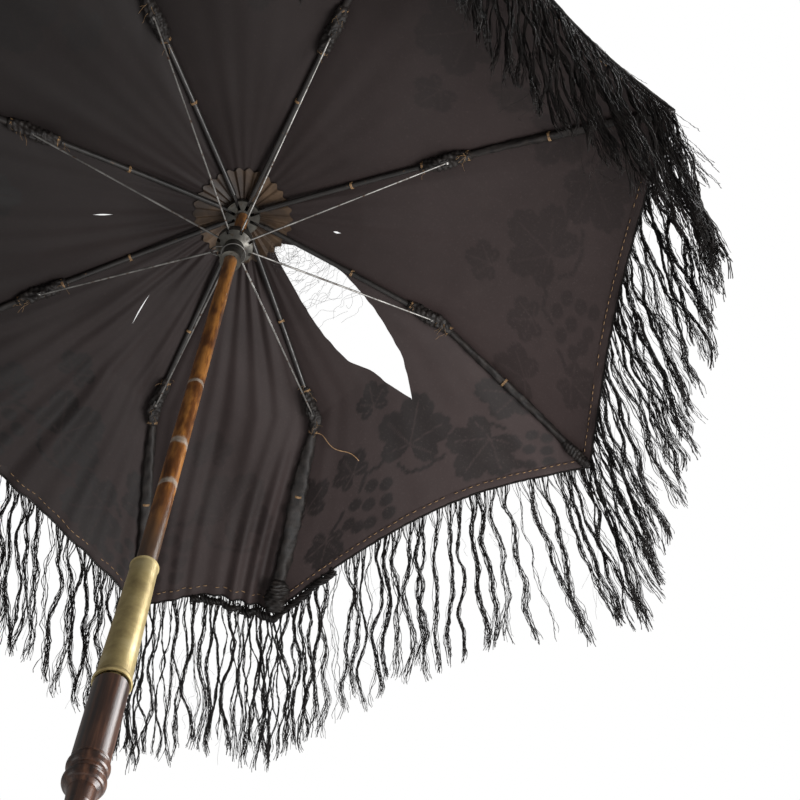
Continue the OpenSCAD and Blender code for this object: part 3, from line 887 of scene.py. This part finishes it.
def torn_threads(i, edge_of, count, seed):
    """Frayed warp threads at the hub end of the tear, hanging from one of its two edges."""
    r = np.random.default_rng(seed)
    share = TEAR_FROM + 0.010 + r.uniform(0, 1, count) ** 1.8 * 0.24
    edges = tear_edges(share)
    u = edges[edge_of]
    start = row(cloth_at(3, u, share * RIB_ALL))
    other = row(cloth_at(3, edges[1 - edge_of], share * RIB_ALL))
    over = other - start
    t = np.linspace(0, 1, 26)[None, :, None]
    reach = r.uniform(0.15, 0.85, (count, 1, 1))
    drift = r.normal(0, 5, (count, 1, 3)) * MM
    curl = 0
    for freq in (4.0, 9.0, 17.0):
        phase = r.uniform(0, 6.28, (count, 1, 3))
        curl = curl + np.sin(t * freq + phase) * r.normal(0, 9.0 / freq, (count, 1, 3)) * MM
    path = start[:, None, :] + over[:, None, :] * reach * t + (drift + curl) * ramp(t * 3) + DROP * 6 * MM * t
    obj = piece(f"torn_threads_{i + 1}", *tubes(path, 0.085 * MM, 3), YARN)
    with_rib(obj, i)


def fringe_rope():
    """Fringe that has twisted itself into a rope along the hem, on both sides of rib 5's tip."""
    u = np.concatenate([np.linspace(0.80, 1.0, 30), np.linspace(0.0, 0.62, 70)[1:]])
    panel = np.repeat([3, 4], [30, 69])
    line = np.concatenate([cloth_at(k, np.array([v]), np.array([hem_length(k, v)])) for k, v in zip(panel, u)])
    line = row(line)
    sag = np.sin(np.linspace(0, math.pi, len(line)))
    line = line + DROP * (2.5 + 4.5 * sag)[:, None] * MM
    across, other = frames(line)
    r = np.random.default_rng(61)
    turn = np.linspace(0, 2 * math.pi * 9, len(line))
    strands = []
    for k in range(26):
        ring = r.uniform(0.6, 3.0) * MM * (0.8 + 0.4 * np.sin(turn * 0.21 + k))
        phi = turn * r.uniform(0.85, 1.15) + r.uniform(0, 6.28)
        strands.append(line + ring[:, None] * (np.cos(phi)[:, None] * across + np.sin(phi)[:, None] * other))
    verts, faces = tubes(np.array(strands), 0.55 * MM, 5)
    obj = piece("fringe_rope", verts, faces, YARN)
    with_rib(obj, 4)


# ---------------------------------------------------------------------------------------------------
# The rosette, and small things on the crown wheels

FOLDED = 30                 # pleats in the rosette
ROSETTE_RADII = (4.7, 33)   # its hole and its rim, in millimetres


def rosette():
    sides, rings = FOLDED * 12, 12
    hole, rim = ROSETTE_RADII
    phi = np.linspace(0, 2 * math.pi, sides, endpoint=False)
    r = np.random.default_rng(9)
    verts = []
    height = r.uniform(0.6, 1.25, FOLDED)
    skew = r.uniform(-0.05, 0.05, FOLDED)
    for k in range(rings):
        s = k / (rings - 1)
        radius = (hole + (rim - hole) * s) * MM
        index = phi / (2 * math.pi) * FOLDED
        n = index.astype(int) % FOLDED
        saw = (index + skew[n] * s) % 1
        fold = np.where(saw < 0.7, saw / 0.7, (1 - saw) / 0.3) - 0.5
        edge = 1 + 0.035 * np.sin(phi * FOLDED) * s ** 3 + 0.02 * np.sin(phi * 4 + 1) * s
        base = 3.2 * MM - np.clip(radius - 12 * MM, 0, 1) * (3.6 / 21)
        z = base + fold * 1.6 * MM * height[n] * (0.25 + 0.75 * s)
        verts.append(np.stack([radius * edge * np.cos(phi), radius * edge * np.sin(phi), z], -1))
    obj = piece("pleated_rosette", row(np.concatenate(verts)), ring_faces(rings, sides), rosette_silk())
    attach(obj, "stick")
    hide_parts("rosette")


def runner_hook():
    """A small bent wire that holds the runner's edge, and a loose ring below its crown."""
    foot = float(shaft([v.co for v in frame["nodes"]["runner"].data.vertices])[:, 2].min())
    t = np.linspace(0, 2 * math.pi, 60)
    ring = np.stack([7.6 * MM * np.cos(t) + 0.8 * MM, 7.6 * MM * np.sin(t),
                     foot + 0.0135 + 1.2 * MM * np.sin(t)], -1)
    s = np.linspace(0, 1, 26)
    hook = np.stack([-6.4 * MM - 7.5 * MM * np.sin(s * math.pi * 0.9), -3 * MM + 2 * MM * s,
                     foot + 0.020 - 9 * MM * s + 3 * MM * np.sin(s * 5)], -1)
    verts, faces = joined([tubes(ring[None], 0.38 * MM, 8), tubes(hook[None], 0.4 * MM, 8)])
    obj = piece("runner_hook", row(verts), faces, STEEL)
    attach(obj, "runner")


# ---------------------------------------------------------------------------------------------------
# Building it

for i in range(RIBS):
    obj, points, area = gore(i)
    hem, stitches = hem_parts(i, points)
    (yarn_verts, yarn_faces), heading = fringe_mesh(i, points)
    yarns = piece(f"fringe_yarns_{i + 1}", yarn_verts, yarn_faces, YARN)
    head = piece(f"fringe_heading_{i + 1}", heading[0], heading[1], YARN)
    for cloth in (obj, hem, stitches, head):
        with_rib(cloth, i)
    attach(yarns, f"fringe_{i + 1}")
    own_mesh(yarns)
    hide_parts(f"canopy_{i + 1}")
    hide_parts(f"fringe_{i + 1}")
    dress_rib(i)
torn_threads(3, 0, 46, 21)
torn_threads(4, 1, 30, 22)
fringe_rope()
rosette()
runner_hook()

# ---------------------------------------------------------------------------------------------------
# Stage, light and camera

FLOOR = cad_box[0][2] - 0.5         # well below the parasol, which the photo shows from underneath
REACH = 6                   # from the middle of the floor to its sides
corners = [(-REACH, -REACH, FLOOR), (REACH, -REACH, FLOOR), (REACH, REACH, FLOOR), (-REACH, REACH, FLOOR)]
floor = piece("floor", corners, [(0, 1, 2, 3)], plain_floor())

bpy.context.scene.view_settings.view_transform = "Standard"
world = bpy.data.worlds.new("studio")
bpy.context.scene.world = world
world.use_nodes = True
tree = world.node_tree
background = tree.nodes["Background"]
background.inputs["Color"].default_value = (1, 1, 1, 1)
# white where the camera sees it, and dim as a light
seen = tree.nodes.new("ShaderNodeLightPath").outputs["Is Camera Ray"]
level = tree.nodes.new("ShaderNodeMapRange")
tree.links.new(seen, level.inputs["Value"])
level.inputs["To Min"].default_value = 0.2
level.inputs["To Max"].default_value = 1.0
tree.links.new(level.outputs["Result"], background.inputs["Strength"])


def area_light(name, place, aim, size, power):
    light = bpy.data.lights.new(name, "AREA")
    light.shape = "DISK"
    light.size = size
    light.energy = power
    obj = bpy.data.objects.new(name, light)
    bpy.context.scene.collection.objects.link(obj)
    obj.location = place
    way = np.asarray(aim) - np.asarray(place)
    obj.rotation_euler = Vector(way).to_track_quat("-Z", "Y").to_euler()


corner = row(rib_at(3, RIB_ALL * 0.8))[0]
area_light("key", tuple(corner + [0.34, -0.50, -0.34]), tuple(corner), 0.45, 9)
area_light("left", (-1.3, -0.6, 0.5), tuple(HUB), 1.0, 2.5)
area_light("top", (1.3, 1.6, 1.5), tuple(HUB), 1.2, 42)

# below the cover and beside the stick, as in the photo
CAMERA_AT = row([0.0834, -0.2794, -0.8666])
camera_data = bpy.data.cameras.new("camera")
camera = bpy.data.objects.new("camera", camera_data)
bpy.context.scene.collection.objects.link(camera)
camera_data.sensor_width = 36
camera_data.angle = math.radians(34.38)
camera_data.clip_start = 0.01
camera.location = CAMERA_AT
camera.rotation_euler = (math.radians(90 + 18.13), 0, math.radians(-1.81))
bpy.context.scene.camera = camera
